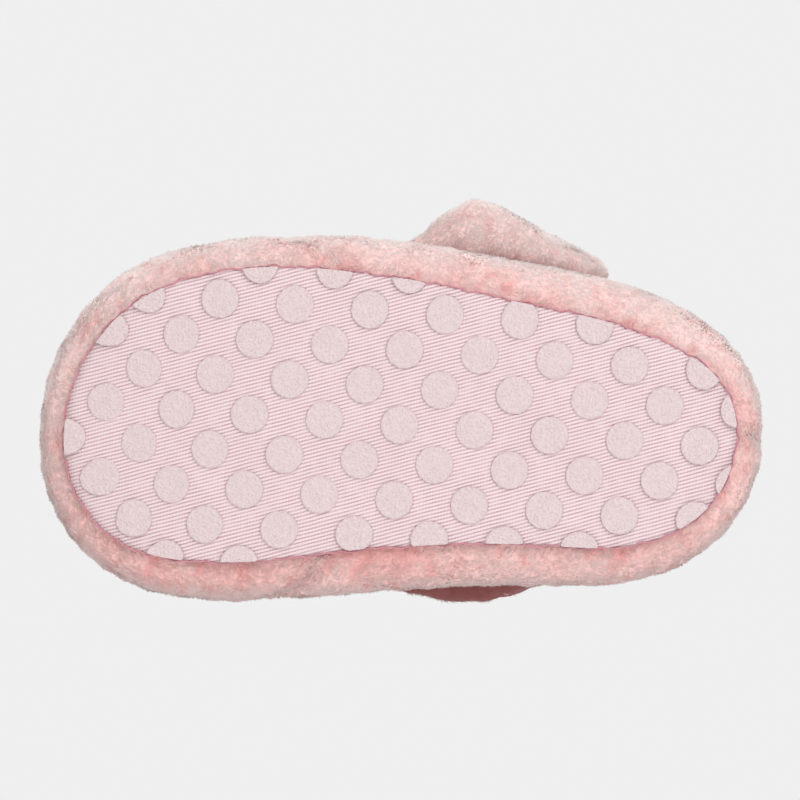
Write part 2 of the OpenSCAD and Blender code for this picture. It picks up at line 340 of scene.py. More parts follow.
@dataclass(frozen=True)
class RibbedClothFinish:
    """Sole fabric: fine slanting ribs with a broken rose line in each valley."""

    name: str
    ground: Colour
    line: Colour
    pitch: float = 0.611 * MM
    turn: float = math.radians(-15.0)
    dash: float = 0.56 * MM
    dash_step: float = 0.37
    faded: float = 0.965
    relief: float = 0.09 * MM

    def material(self) -> bpy.types.Material:
        """Makes the ribbed cloth from the point's place across and along the ribs.

        Returns:
            The cloth's material.
        """
        s = Shader(self.name)
        wander = s.math("MULTIPLY", s.math("SUBTRACT", s.noise(7 * MM, 1.0), 0.5), 0.5)
        place = s.object_point((1 / self.dash, 1 / self.pitch, 1), self.turn)
        parts = s.node("SeparateXYZ", Vector=place)
        across = s.math("ADD", parts.outputs[1], wander)
        row = s.math("FLOOR", across)
        side = s.math("ABSOLUTE", s.math("SUBTRACT", s.math("FRACT", across), 0.5))
        valley = s.remap(side, 0.22, 0.41)
        offset = s.math("MULTIPLY", row, self.dash_step)
        along = s.math("FRACT", s.math("ADD", parts.outputs[0], offset))
        beat = s.math("ABSOLUTE", s.math("SUBTRACT", along, 0.5))
        dashes = s.remap(beat, 0.38, 0.2)
        cross = s.remap(beat, 0.2, 0.5)
        marks = s.math("MULTIPLY", valley, s.math("MULTIPLY_ADD", dashes, 0.9, 0.1))
        uneven = s.math("MULTIPLY", marks, s.remap(s.noise(1.6 * MM, 3.0), 0.25, 0.6, 0.55, 1.0))
        faded = tuple(c * self.faded for c in self.ground)
        ground = s.blend(s.remap(s.noise(9 * MM, 2.0), 0.3, 0.7), self.ground, faded)
        s.feed(s.surface.inputs["Base Color"], s.blend(uneven, ground, self.line))
        s.surface.inputs["Roughness"].default_value = 0.82
        s.sheen(0.15, 0.4, (1.0, 0.95, 0.95))
        rib = s.math("SUBTRACT", 1.0, valley)
        height = s.math("SUBTRACT", rib, s.math("MULTIPLY", cross, 0.3))
        s.bump(height, self.relief, 0.9)
        return s.material


@dataclass(frozen=True)
class GripRubberFinish:
    """Printed grip dots: matte pale rubber with a pebbled skin and a darker rose rim that is painted
    shadow.
    """

    name: str
    colour: Colour
    # Painted shadow at each dot's edge.
    rim: Colour
    grain: float = 0.4 * MM
    dark: float = 0.9
    relief: float = 0.55 * MM

    def material(self) -> bpy.types.Material:
        """Makes the rubber; the mesh's rim number darkens the thin edge of each dot with painted shadow.

        Returns:
            The rubber's material.
        """
        s = Shader(self.name)
        grain = s.noise(self.grain, 3.0, 0.65)
        dark = tuple(c * self.dark for c in self.colour)
        mottled = s.blend(s.remap(grain, 0.38, 0.56), dark, self.colour)
        s.feed(s.surface.inputs["Base Color"], s.blend(s.attribute("rim"), mottled, self.rim))
        s.feed(s.surface.inputs["Roughness"], s.remap(s.noise(0.5 * MM, 2.0), 0.3, 0.7, 0.5, 0.68))
        s.bump(grain, self.relief)
        return s.material


@dataclass(frozen=True)
class ThreadFinish:
    """Sewing thread with a fine twist."""

    name: str
    colour: Colour
    dark: float = 0.7
    relief: float = 0.04 * MM

    def material(self) -> bpy.types.Material:
        """Makes the thread.

        Returns:
            The thread's material.
        """
        s = Shader(self.name)
        twist = s.noise(0.3 * MM, 2.0)
        dark = tuple(c * self.dark for c in self.colour)
        s.feed(s.surface.inputs["Base Color"], s.blend(s.remap(twist, 0.3, 0.7), dark, self.colour))
        s.feed(s.surface.inputs["Roughness"], s.remap(twist, 0.3, 0.7, 0.45, 0.65))
        s.bump(twist, self.relief)
        return s.material


@dataclass(frozen=True)
class TapeFinish:
    """Ground cloth of the hook and loop tapes and of the seam tape."""

    name: str
    colour: Colour
    pitch: float = 0.5 * MM
    dark: float = 0.8
    relief: float = 0.06 * MM

    def material(self) -> bpy.types.Material:
        """Makes a small plain weave.

        Returns:
            The weave's material.
        """
        s = Shader(self.name)
        parts = s.node("SeparateXYZ", Vector=s.object_point((1 / self.pitch,) * 3))
        rows = s.math("ABSOLUTE", s.math("SUBTRACT", s.math("FRACT", parts.outputs[2]), 0.5))
        files = s.math("ABSOLUTE", s.math("SUBTRACT", s.math("FRACT", parts.outputs[0]), 0.5))
        weave = s.math("ADD", rows, files)
        dark = tuple(c * self.dark for c in self.colour)
        s.feed(s.surface.inputs["Base Color"], s.blend(s.remap(weave, 0.1, 0.8), dark, self.colour))
        s.feed(s.surface.inputs["Roughness"], s.remap(s.noise(1.5 * MM), 0.3, 0.7, 0.6, 0.8))
        s.bump(weave, self.relief)
        return s.material


CORAL: Colour = (0.86, 0.40, 0.38)
PLUSH_PILE = PileFinish("plush_pile", CORAL, (0.92, 0.74, 0.71), (0.93, 0.87, 0.845))
PLUSH_BACK = FleeceFinish(
    "plush_backing", CORAL, (0.92, 0.73, 0.70), 1.2 * MM, 0.3 * MM, sheen=0.5, takes_coral_and_side_shade=True)
# Painted shade: the strap's lining sheet is near-black rose, far darker than the other linings, so that
# it reads as in shade.
STRAP_SHADE_BACKING = FleeceFinish(
    "strap_backing_painted_shade", (0.17, 0.045, 0.043), (0.22, 0.066, 0.063), 1.8 * MM, 0.12 * MM, sheen=0.1)
LINING = FleeceFinish("brushed_lining", (0.82, 0.52, 0.52), (0.90, 0.66, 0.65), 1.3 * MM, 0.35 * MM)
INSOLE = FleeceFinish("insole_fleece", (0.80, 0.48, 0.48), (0.90, 0.64, 0.63), 1.1 * MM, 0.35 * MM)
WADDING = FleeceFinish("wadding", (0.80, 0.78, 0.74), (0.90, 0.88, 0.84), 2.0 * MM, 0.4 * MM)
FOAM = FleeceFinish("foam", (0.80, 0.78, 0.70), (0.88, 0.86, 0.80), 0.7 * MM, 0.15 * MM, sheen=0.0)
SOLE_CLOTH = RibbedClothFinish("sole_cloth", (0.83, 0.68, 0.70), (0.44, 0.185, 0.22))
# The second colour is painted shadow round the edge of each dot.
GRIP_RUBBER = GripRubberFinish("grip_rubber", (0.86, 0.70, 0.71), (0.62, 0.41, 0.44))
SEAM_THREAD = ThreadFinish("seam_thread", (0.66, 0.28, 0.33))
TAPE = TapeFinish("tape_weave", (0.84, 0.58, 0.60))


# --------------------------------------------------------------------------- mesh tools


def new_piece(name: str, points: np.ndarray, faces: np.ndarray, smooth: bool = True) -> bpy.types.Object:
    """Makes an object from arrays of points and of triangles or quads.

    Args:
        name: The object's name.
        points: n x 3 places in metres.
        faces: m x 3 or m x 4 point numbers.
        smooth: Whether the faces shade smoothly.

    Returns:
        The new object, linked to the scene.
    """
    mesh = bpy.data.meshes.new(name)
    count, corners = faces.shape
    mesh.vertices.add(len(points))
    mesh.vertices.foreach_set("co", np.ascontiguousarray(points, np.float32).ravel())
    mesh.loops.add(count * corners)
    mesh.loops.foreach_set("vertex_index", np.ascontiguousarray(faces, np.int32).ravel())
    mesh.polygons.add(count)
    mesh.polygons.foreach_set("loop_start", np.arange(0, count * corners, corners, dtype=np.int32))
    mesh.polygons.foreach_set("use_smooth", np.full(count, smooth))
    mesh.update(calc_edges=True)
    made = bpy.data.objects.new(name, mesh)
    bpy.context.scene.collection.objects.link(made)
    return made


def give_number(piece: bpy.types.Object, name: str, values: np.ndarray) -> None:
    """Stores one number for each point of a piece, for its material to read."""
    layer = piece.data.attributes.new(name, "FLOAT", "POINT")
    layer.data.foreach_set("value", np.ascontiguousarray(values, np.float32))


def points_of(piece: bpy.types.Object) -> np.ndarray:
    """The places of a mesh's points.

    Args:
        piece: The mesh object.

    Returns:
        An n x 3 array.
    """
    flat = np.zeros(len(piece.data.vertices) * 3, np.float32)
    piece.data.vertices.foreach_get("co", flat)
    return flat.reshape(-1, 3).astype(float)


def triangles_of(piece: bpy.types.Object) -> np.ndarray:
    """The triangles of a mesh.

    Args:
        piece: The mesh object.

    Returns:
        An m x 3 array of point numbers.
    """
    piece.data.calc_loop_triangles()
    flat = np.zeros(len(piece.data.loop_triangles) * 3, np.int32)
    piece.data.loop_triangles.foreach_get("vertices", flat)
    return flat.reshape(-1, 3)


def normals_of(piece: bpy.types.Object) -> np.ndarray:
    """The smooth normal at each point of a mesh.

    Args:
        piece: The mesh object.

    Returns:
        An n x 3 array.
    """
    flat = np.zeros(len(piece.data.vertices) * 3, np.float32)
    piece.data.vertices.foreach_get("normal", flat)
    return flat.reshape(-1, 3).astype(float)


def move_points(piece: bpy.types.Object, points: np.ndarray) -> None:
    """Puts a mesh's points at new places."""
    piece.data.vertices.foreach_set("co", np.ascontiguousarray(points, np.float32).ravel())
    piece.data.update()


def apply_modifiers(piece: bpy.types.Object) -> None:
    """Bakes a piece's modifiers into its mesh.

    Args:
        piece: The mesh object.
    """
    evaluated = piece.evaluated_get(bpy.context.evaluated_depsgraph_get())
    mesh = bpy.data.meshes.new_from_object(evaluated)
    piece.modifiers.clear()
    piece.data = mesh


def dress(piece: bpy.types.Object, finish: bpy.types.Material) -> None:
    """Gives a piece one material."""
    piece.data.materials.clear()
    piece.data.materials.append(finish)


MERGE = 0.002 * MM
FLAT_JOINT = math.radians(40)
SQUARE_JOINT = math.radians(60)


def copy_of_nodes(name: str, nodes: Sequence[str], smooth_levels: int) -> bpy.types.Object:
    """Copies CAD nodes into one new smooth mesh.

    Args:
        name: The new object's name.
        nodes: The nodes to copy.
        smooth_levels: Levels of subdivision.

    Returns:
        The new object.
    """
    joined = bmesh.new()
    for node in nodes:
        joined.from_mesh(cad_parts[node].data)
    bmesh.ops.remove_doubles(joined, verts=joined.verts, dist=MERGE)
    bmesh.ops.join_triangles(
        joined, faces=joined.faces, angle_face_threshold=FLAT_JOINT,
        angle_shape_threshold=SQUARE_JOINT)
    mesh = bpy.data.meshes.new(name)
    joined.to_mesh(mesh)
    joined.free()
    made = bpy.data.objects.new(name, mesh)
    bpy.context.scene.collection.objects.link(made)
    for polygon in mesh.polygons:
        polygon.use_smooth = True
    rounding = made.modifiers.new("rounding", "SUBSURF")
    rounding.levels = rounding.render_levels = smooth_levels
    apply_modifiers(made)
    return made


def remesh(piece: bpy.types.Object, size: float, relax: int = 4) -> None:
    """Rebuilds a piece as one even skin and relaxes it.

    Args:
        piece: The piece to rebuild.
        size: Voxel size.
        relax: Rounds of smoothing.
    """
    skin = piece.modifiers.new("skin", "REMESH")
    skin.mode = "VOXEL"
    skin.voxel_size = size
    skin.use_smooth_shade = True
    calm = piece.modifiers.new("calm", "SMOOTH")
    calm.factor = 0.5
    calm.iterations = relax
    apply_modifiers(piece)


def waves(points: np.ndarray, size: float, seed: int, octaves: int = 3) -> np.ndarray:
    """Smooth seeded lumps from sums of slanting waves, about -1 to 1.

    Args:
        points: n x 3 places.
        size: Size of the largest lumps.
        seed: Seed of the wave directions.
        octaves: How many finer layers are added.

    Returns:
        One number for each point.
    """
    count, finer, fainter = 7, 1.9, 0.55
    rng = np.random.default_rng(seed)
    total = np.zeros(len(points))
    for octave in range(octaves):
        turns = rng.normal(size=(count, 3))
        turns /= np.linalg.norm(turns, axis=1, keepdims=True)
        rate = 2 * math.pi / size * finer ** octave * rng.uniform(0.7, 1.3, count)
        phase = rng.uniform(0, 2 * math.pi, count)
        layer = np.sin(points @ turns.T * rate + phase).sum(1) / math.sqrt(count)
        total += layer * fainter ** octave
    return total / 1.5


def closed_curve(points: np.ndarray, count: int) -> np.ndarray:
    """A smooth closed curve through points, sampled evenly along its length.

    Args:
        points: n x k places, in order round the loop.
        count: How many samples are wanted.

    Returns:
        count x k places.
    """
    n = len(points)
    t = np.linspace(0, n, n * 16, endpoint=False)
    i = t.astype(int)
    f = (t - i)[:, None]
    a, b, c, d = (points[(i + k) % n] for k in (-1, 0, 1, 2))
    bend, twist = 2 * a - 5 * b + 4 * c - d, 3 * b - a - 3 * c + d
    fine = 0.5 * (2 * b + (c - a) * f + bend * f ** 2 + twist * f ** 3)
    legs = np.linalg.norm(np.diff(np.vstack([fine, fine[:1]]), axis=0), axis=1)
    reach = np.concatenate([[0], np.cumsum(legs)])
    wanted = np.linspace(0, reach[-1], count, endpoint=False)
    looped = np.vstack([fine, fine[:1]])
    return np.column_stack([np.interp(wanted, reach, looped[:, k]) for k in range(points.shape[1])])


def ring_bar(name: str, line: np.ndarray, radius: np.ndarray, sides: int) -> bpy.types.Object:
    """A round bar along a closed line.

    Args:
        name: The object's name.
        line: n x 3 places along the middle.
        radius: n radii.
        sides: Corners of each ring.

    Returns:
        The new object.
    """
    n = len(line)
    ahead = np.roll(line, -1, 0) - np.roll(line, 1, 0)
    ahead /= np.linalg.norm(ahead, axis=1, keepdims=True)
    across = np.cross(ahead, (0.0, 0.0, 1.0))
    across /= np.maximum(np.linalg.norm(across, axis=1, keepdims=True), TINY)
    lifted = np.cross(across, ahead)
    angles = (np.arange(sides) * 2 * math.pi / sides)[None, :, None]
    ring = across[:, None] * np.cos(angles) + lifted[:, None] * np.sin(angles)
    points = (line[:, None] + ring * np.asarray(radius)[:, None, None]).reshape(-1, 3)
    i, j = np.meshgrid(np.arange(n), np.arange(sides), indexing="ij")
    k, m = (i + 1) % n, (j + 1) % sides
    quads = np.stack([i * sides + j, i * sides + m, k * sides + m, k * sides + j], -1).reshape(-1, 4)
    return new_piece(name, points, quads)


def islands_of(source: bmesh.types.BMesh) -> list[np.ndarray]:
    """The separate solids of a mesh.

    Args:
        source: The mesh.

    Returns:
        Each solid's points, in the order of the solids' middles.
    """
    todo, found = set(source.verts), []
    while todo:
        stack, group = [todo.pop()], []
        while stack:
            vert = stack.pop()
            group.append(tuple(vert.co))
            for edge in vert.link_edges:
                other = edge.other_vert(vert)
                if other in todo:
                    todo.remove(other)
                    stack.append(other)
        found.append(np.array(group))
    return sorted(found, key=lambda g: tuple(g.mean(0).round(6)))


# --------------------------------------------------------------------------- the pile


def tree_of(nodes: Sequence[str]) -> BVHTree | None:
    """A search tree over CAD nodes.

    Args:
        nodes: The nodes' names.

    Returns:
        The tree, or None for no nodes.
    """
    points, faces = [], []
    for node in nodes:
        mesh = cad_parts[node]
        faces += (triangles_of(mesh) + len(points)).tolist()
        points += points_of(mesh).tolist()
    return BVHTree.FromPolygons(points, faces) if faces else None


def distance_to(nodes: Sequence[str], points: np.ndarray, reach: float) -> np.ndarray:
    """How far each point lies from CAD nodes.

    Args:
        nodes: The nodes' names.
        points: n x 3 places.
        reach: The most that is measured.

    Returns:
        n distances, none more than reach.
    """
    tree = tree_of(nodes)
    if tree is None:
        return np.full(len(points), reach)
    found = (tree.find_nearest(Vector(p), reach)[3] for p in points)
    return np.array([reach if d is None else d for d in found])


def faces_towards(nodes: Sequence[str], points: np.ndarray, normals: np.ndarray,
                  least: float = 0.45) -> np.ndarray:
    """Whether the surface at each point faces the nearest place on CAD nodes.

    Args:
        nodes: The nodes' names.
        points: n x 3 places on the surface.
        normals: The surface's normals there.
        least: Cosine of the widest angle that counts as facing.

    Returns:
        n truths.
    """
    tree = tree_of(nodes)
    nearest = np.array([tree.find_nearest(Vector(p))[0] for p in points])
    way = nearest - points
    way /= np.maximum(np.linalg.norm(way, axis=1, keepdims=True), TINY)
    return (way * normals).sum(1) > least


def nap(points: np.ndarray) -> np.ndarray:
    """Height of the brushed nap at each point, about -1 in its creases to 1."""
    drawn = points * np.array([1.0, 1.0, 0.5])
    return 0.5 * waves(points, 8.5 * MM, 71, 2) + 0.8 * waves(drawn, 3.6 * MM, 72, 3)


NEIGHBOUR_REACH = 5 * MM


@dataclass(frozen=True)
class CoralGroundAndSideShade:
    """Where the plush's coral ground shows, and how strongly, with painted shade that turns the inner
    side more coral.
    """

    crease_share: float = 0.5
    crease_start: float = 0.3
    crease_range: float = 0.7
    seam_share: float = 0.7
    seam_least: float = 0.15
    seam_lift: float = 1.2 * MM
    seam_rise: float = 3.2 * MM
    patch_share: float = 0.06
    patch_size: float = 16 * MM
    covered_share: float = 0.7
    covered_power: float = 1.4
    # Painted shade: the inner side, towards -Y, turns more coral, as if in shade.
    side_shade_share: float = 0.17
    side_shade_width: float = 15 * MM

    def at(self, points: np.ndarray, room: np.ndarray) -> np.ndarray:
        """How much coral shows: coral ground in creases, at the sole seam and under the strap, and
        painted shade on the inner side.

        Args:
            points: n x 3 places.
            room: How far each point lies from its neighbours, up to NEIGHBOUR_REACH.

        Returns:
            A number from 0 to 1 for each point.
        """
        depth = -self.crease_start - nap(points)
        crease = np.clip(depth, 0, self.crease_range) / self.crease_range
        seam_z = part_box("outsole_fabric")[0][2] + self.seam_lift
        near_seam = np.exp(-np.clip(points[:, 2] - seam_z, 0, 1) / self.seam_rise)
        patch = np.clip(waves(points, self.patch_size, 73, 2) * 0.5 + 0.3, 0, 1)
        covered = (1 - room / NEIGHBOUR_REACH) ** self.covered_power
        # Painted shade: more coral on the inner side, less on the outer side.
        side_shade = self.side_shade_share * (1 - np.tanh(points[:, 1] / self.side_shade_width))
        total = self.crease_share * crease + self.seam_share * near_seam * (self.seam_least + patch)
        total += self.patch_share * patch + self.covered_share * covered + side_shade
        return np.clip(total, 0, 1)


GROUND_AND_SIDE_SHADE = CoralGroundAndSideShade()


@dataclass
class Pile:
    """Short silky plush fibres in fine locks that lie over together."""

    length: float = 0.95 * MM
    width: float = 0.21 * MM
    per_area: float = 11e6
    lean: float = 1.2
    lean_spread: float = 0.12
    lean_range: tuple[float, float] = (0.8, 1.45)
    most_locks: int = 49500
    bridge: float = 2.6 * MM
    bridge_lift: float = 0.7 * MM
    comb_size: float = 11 * MM
    stray: float = 0.42
    droop: float = 0.25
    rooted: float = 0.2 * MM
    least_press: float = 0.2

    def grow(self, base: bpy.types.Object, name: str, seed: int, bare: Sequence[str],
             bare_within: float, near: Sequence[str], bald: np.ndarray | None = None,
             joins: Sequence[str] = ()) -> bpy.types.Object:
        """Grows the fibres of one piece.

        Args:
            base: The piece that carries the fibres.
            name: Name of the new piece.
            seed: Seed of everything random here.
            bare: Nodes that back the piece; no fibres grow close to them.
            bare_within: How close that is.
            near: Nodes of other bodies, beside which the fibres are pressed short.
            bald: For each point of the base, 1 where no fibres grow and 0 where they do.
            joins: Nodes of the panels sewn to this one; the fibres stand up and lie over those seams.

        Returns:
            The fibres as one mesh of closed, tapering locks.
        """
        rng = np.random.default_rng(seed)
        points, triangles, normals = points_of(base), triangles_of(base), normals_of(base)
        corner = points[triangles]
        sides = corner[:, 1] - corner[:, 0], corner[:, 2] - corner[:, 0]
        area = np.linalg.norm(np.cross(*sides), axis=1) / 2
        if bare:
            area = area * (distance_to(bare, corner.mean(1), bare_within) >= bare_within)
        if bald is not None:
            area = area * (bald[triangles].mean(1) < 0.5)
        count = min(self.most_locks, int(area.sum() * self.per_area))
        chosen = rng.choice(len(area), count, p=area / area.sum())
        a, b = rng.random((2, count))
        flip = a + b > 1
        a, b = np.where(flip, 1 - a, a), np.where(flip, 1 - b, b)
        share = np.stack([1 - a - b, a, b], 1)[..., None]
        root = (points[triangles[chosen]] * share).sum(1)
        up = (normals[triangles[chosen]] * share).sum(1)
        up /= np.linalg.norm(up, axis=1, keepdims=True)
        if joins:
            close = (1 - distance_to(joins, root, self.bridge) / self.bridge)[:, None]
            tree = tree_of(bare or joins)
            outward = root - np.array([tree.find_nearest(Vector(p))[0] for p in root])
            outward /= np.maximum(np.linalg.norm(outward, axis=1, keepdims=True), TINY)
            up = up * (1 - close) + outward * close
            up /= np.maximum(np.linalg.norm(up, axis=1, keepdims=True), TINY)
            root = root + up * close * self.bridge_lift
        room = distance_to(near, root, NEIGHBOUR_REACH)
        LOG.info("%s: %d locks on %.0f square mm", name, count, area.sum() * 1e6)
        return self._locks(name, root, up, room, rng)

    def _locks(self, name: str, root: np.ndarray, up: np.ndarray, room: np.ndarray,
               rng: np.random.Generator) -> bpy.types.Object:
        """Builds one closed lock at each root.

        Args:
            name: Name of the new piece.
            root: n x 3 places on the base.
            up: n x 3 directions away from the base.
            room: n distances from the neighbouring pieces, up to NEIGHBOUR_REACH.
            rng: The source of everything random here.

        Returns:
            The new piece.
        """
        count = len(root)
        press = np.clip((room - 0.15 * MM) / (1.2 * MM), self.least_press, 1.0)
        comb = np.column_stack([waves(root, self.comb_size, 50 + k, 3) for k in range(3)])
        comb += rng.normal(size=(count, 3)) * self.stray + np.array([0.0, 0.0, -self.droop])
        comb -= up * (comb * up).sum(1, keepdims=True)
        comb /= np.maximum(np.linalg.norm(comb, axis=1, keepdims=True), 1e-6)
        spread = rng.normal(size=count) * self.lean_spread
        lean = np.clip(self.lean + spread, *self.lean_range)[:, None]
        tall = self.length * rng.uniform(0.75, 1.2, count)[:, None]
        along = up * np.cos(lean) * press[:, None] + comb * np.sin(lean)
        tip = root + along * tall
        across = np.cross(up, comb)
        thick = self.width * rng.uniform(0.75, 1.25, count)[:, None] / 2
        low = root - up * self.rooted
        back = root - comb * thick * 0.5 + up * thick * 0.8
        corners = [low + across * thick, low - across * thick, back, tip]
        points = np.stack(corners, 1).reshape(-1, 3)
        pattern = np.array([[0, 1, 2], [0, 3, 1], [1, 3, 2], [2, 3, 0]])
        faces = (np.arange(count)[:, None, None] * 4 + pattern[None]).reshape(-1, 3)
        made = new_piece(name, points, faces)
        give_number(made, "pile", np.tile([0.15, 0.15, 0.35, 1.0], count))
        give_number(made, "tone", np.repeat(rng.random(count), 4))
        # Coral ground, and painted shade on the inner side.
        give_number(made, "coral_and_side_shade", np.repeat(GROUND_AND_SIDE_SHADE.at(root, room), 4))
        soft = np.repeat(up + along * 0.3, 4, 0)
        soft /= np.linalg.norm(soft, axis=1, keepdims=True)
        made.data.normals_split_custom_set_from_vertices(soft.tolist())
        made.visible_shadow = False
        return made


# --------------------------------------------------------------------------- the sole


@dataclass
class Sole:
    """Fabric sole with its grip dots, seam, foam and insole."""

    rings: int = 26
    around: int = 240
    edge_rise: float = 0.5 * MM
    cloth: float = 1.2 * MM
    dip: float = 0.06 * MM
    dot_rings: int = 11
    dot_around: int = 60
    pebble: float = 0.03 * MM
    proud: float = 0.1
    stretch: float = 1.0 * MM
    toe_mm: tuple[float, ...] = (33, 38, 45, 51)
    toe_share: tuple[float, ...] = (0.0, 0.25, 0.7, 1.0)
    side_share: float = 0.35
    side_end_mm: tuple[float, float] = (42, 50)
    thread: float = 0.15 * MM
    thread_rings: int = 1400
    stitches: int = 121
    outline: np.ndarray | None = None
    low_z: Callable[[np.ndarray], np.ndarray] | None = None

    def build(self) -> None:
        """Builds and dresses the sole's pieces."""
        self.outline, self.low_z = self._read_outline()
        self._fabric()
        self._dots()
        self._seam()
        self._inside()

    def _read_outline(self) -> tuple[np.ndarray, Callable[[np.ndarray], np.ndarray]]:
        """Reads the fabric's edge and its curl from the frame.

        Returns:
            The edge as a closed loop, and the height of the fabric's underside at x.
        """
        points = points_of(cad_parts["outsole_fabric"])
        points = points[np.argsort(points[:, 2])]
        _, first = np.unique(points[:, :2].round(6), axis=0, return_index=True)
        flat = points[first]
        order = np.argsort(flat[:, 0])
        curl_x, curl_z = flat[order, 0], flat[order, 2]
        angle = np.arctan2(flat[:, 1], flat[:, 0])
        reach = np.hypot(flat[:, 0], flat[:, 1])
        same_way, rim_share = 0.02, 0.93
        edge = []
        for k in np.argsort(angle):
            near = np.abs(np.angle(np.exp(1j * (angle - angle[k])))) < same_way
            if reach[k] > rim_share * reach[near].max():
                edge.append(flat[k, :2])
        return np.array(edge), lambda x: np.interp(x, curl_x, curl_z)

    def _fabric(self) -> None:
        """The ribbed sole fabric, drawn up a little towards its seam."""
        loop = closed_curve(self.outline, self.around)
        share = np.linspace(0, 1, self.rings + 1)[1:] ** 0.8
        flat = np.vstack([[[0.0, 0.0]]] + [loop * s for s in share])
        edge = np.concatenate([[0.0], np.repeat(share, self.around)])
        uneven = waves(np.column_stack([flat, flat[:, 0] * 0]), 24 * MM, 3, 2)
        lower = self.low_z(flat[:, 0]) + self.edge_rise * edge ** 14 + self.dip * uneven
        upper = self.low_z(flat[:, 0]) + self.cloth
        k = len(flat)
        points = np.vstack([np.column_stack([flat, lower]), np.column_stack([flat, upper])])
        faces = []
        for i in range(self.around):
            j = (i + 1) % self.around
            faces += [(0, 1 + j, 1 + i, 1 + i), (k, k + 1 + i, k + 1 + j, k + 1 + j)]
            for r in range(self.rings - 1):
                a, b = 1 + r * self.around + i, 1 + r * self.around + j
                c, d = a + self.around, b + self.around
                faces += [(a, b, d, c), (k + a, k + c, k + d, k + b)]
            a, b = 1 + (self.rings - 1) * self.around + i, 1 + (self.rings - 1) * self.around + j
            faces.append((a, b, k + b, k + a))
        made = self._from_lists("sole_fabric", points, faces)
        dress(made, made_once(SOLE_CLOTH))
        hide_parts("outsole_fabric")
        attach(made, Body.UPPER.value)
        LOG.info("sole_fabric: %d points", len(points))

    @staticmethod
    def _from_lists(name: str, points: np.ndarray, faces: list[tuple[int, ...]]) -> bpy.types.Object:
        """Makes an object from faces of mixed size.

        Args:
            name: The object's name.
            points: n x 3 places.
            faces: Four point numbers each; a repeated last corner marks a triangle.

        Returns:
            The new object.
        """
        mesh = bpy.data.meshes.new(name)
        mesh.from_pydata(points.tolist(), [], [f[:3] if f[-1] == f[-2] else f for f in faces])
        mesh.update()
        made = bpy.data.objects.new(name, mesh)
        bpy.context.scene.collection.objects.link(made)
        for polygon in mesh.polygons:
            polygon.use_smooth = True
        return made

    def _dots(self) -> None:
        """The grip dots, each a low pebbled dome cut where the sole's edge cuts it."""
        source = bmesh.new()
        source.from_mesh(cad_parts["grip_dots"].data)
        bmesh.ops.remove_doubles(source, verts=source.verts, dist=MERGE)
        points, faces, rim_shadows = [], [], []
        start = 0
        for island in islands_of(source):
            dome, quads, rim = self._dome(island + self._draw_in(island))
            points.append(dome)
            faces.append(quads + start)
            rim_shadows.append(rim)
            start += len(dome)
        source.free()
        made = new_piece("grip_dots_pebbled", np.vstack(points), np.vstack(faces))
        # Painted shadow at each dot's edge.
        give_number(made, "rim", np.concatenate(rim_shadows))
        dress(made, made_once(GRIP_RUBBER))
        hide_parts("grip_dots")
        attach(made, Body.UPPER.value)
        LOG.info("grip_dots_pebbled: %d dots", len(points))

    def _draw_in(self, points: np.ndarray) -> np.ndarray:
        """How far the cloth's stretch draws dots back from the toe and towards the inner side.

        Args:
            points: n x 3 places on the dots.

        Returns:
            n x 3 moves, none along the seam.
        """
        rim = closed_curve(self.outline, 400)
        edge = np.linalg.norm(points[:, None, :2] - rim[None], axis=2).min(1)
        free = np.clip(edge / (2.5 * MM), 0, 1) * self.stretch
        ahead = points[:, 0] / MM
        moved = np.zeros_like(points)
        moved[:, 0] = -np.interp(ahead, self.toe_mm, self.toe_share) * free
        moved[:, 1] = -self.side_share * free * np.interp(ahead, self.side_end_mm, (1, 0))
        return moved

    def _dome(self, solid: np.ndarray) -> tuple[np.ndarray, np.ndarray, np.ndarray]:
        """One dot.

        Args:
            solid: Points of the dot's CAD solid.

        Returns:
            Its points, its faces, and how near its edge each point is.
        """
        slope = np.column_stack([solid[:, :2], np.ones(len(solid))])
        fit = np.linalg.lstsq(slope, solid[:, 2], rcond=None)[0]
        height = 2 * np.abs(solid[:, 2] - slope @ fit).mean()
        hull = self._hull(solid[:, :2])
        centre = (hull.max(0) + hull.min(0)) / 2
        fit[2] += centre @ fit[:2]
        sides = zip(hull, np.roll(hull, -1, 0))
        dense = np.concatenate([np.linspace(p, q, 24, endpoint=False) for p, q in sides])
        rim = dense - centre
        angle = np.arctan2(rim[:, 1], rim[:, 0])
        order = np.argsort(angle)
        wanted = np.linspace(-math.pi, math.pi, self.dot_around, endpoint=False)
        far = np.hypot(rim[:, 0], rim[:, 1])
        reach = np.interp(wanted, angle[order], far[order], period=2 * math.pi)
        start = centre * 9e3
        ragged = 0.012 * np.sin(wanted * 13 + start[0]) + 0.008 * np.sin(wanted * 23 + start[1])
        reach = reach * (1 + ragged)
        rim_share, rim_fall = (0.94, 0.965, 0.985, 1.0), (0.04, 0.16, 0.42, 0.92)
        inner = self.dot_rings - len(rim_share)
        share = np.concatenate([np.linspace(0.12, 0.9, inner), rim_share])
        fall = np.concatenate([np.zeros(inner), rim_fall])
        flat = (share[:, None, None] * reach[None, :, None]
                * np.stack([np.cos(wanted), np.sin(wanted)], 1)[None]).reshape(-1, 2)
        edge = np.repeat(fall, self.dot_around)
        flat, edge = np.vstack([[[0, 0]], flat]), np.concatenate([[0], edge])
        plane = fit[2] + flat @ fit[:2]
        down = plane - height * self.proud + edge * height * (self.proud + 0.5)
        place = np.column_stack([flat + centre, down])
        lumps = 0.5 * waves(place, 1.3 * MM, 11, 2) + waves(place, 0.7 * MM, 12, 2)
        place[:, 2] -= (1 - edge) * (self.pebble * lumps - 0.03 * MM)
        place = np.vstack([place, [[*centre, fit[2] + height * 0.45]]])
        faces = []
        n = self.dot_around
        last = 1 + (self.dot_rings - 1) * n
        for i in range(n):
            j = (i + 1) % n
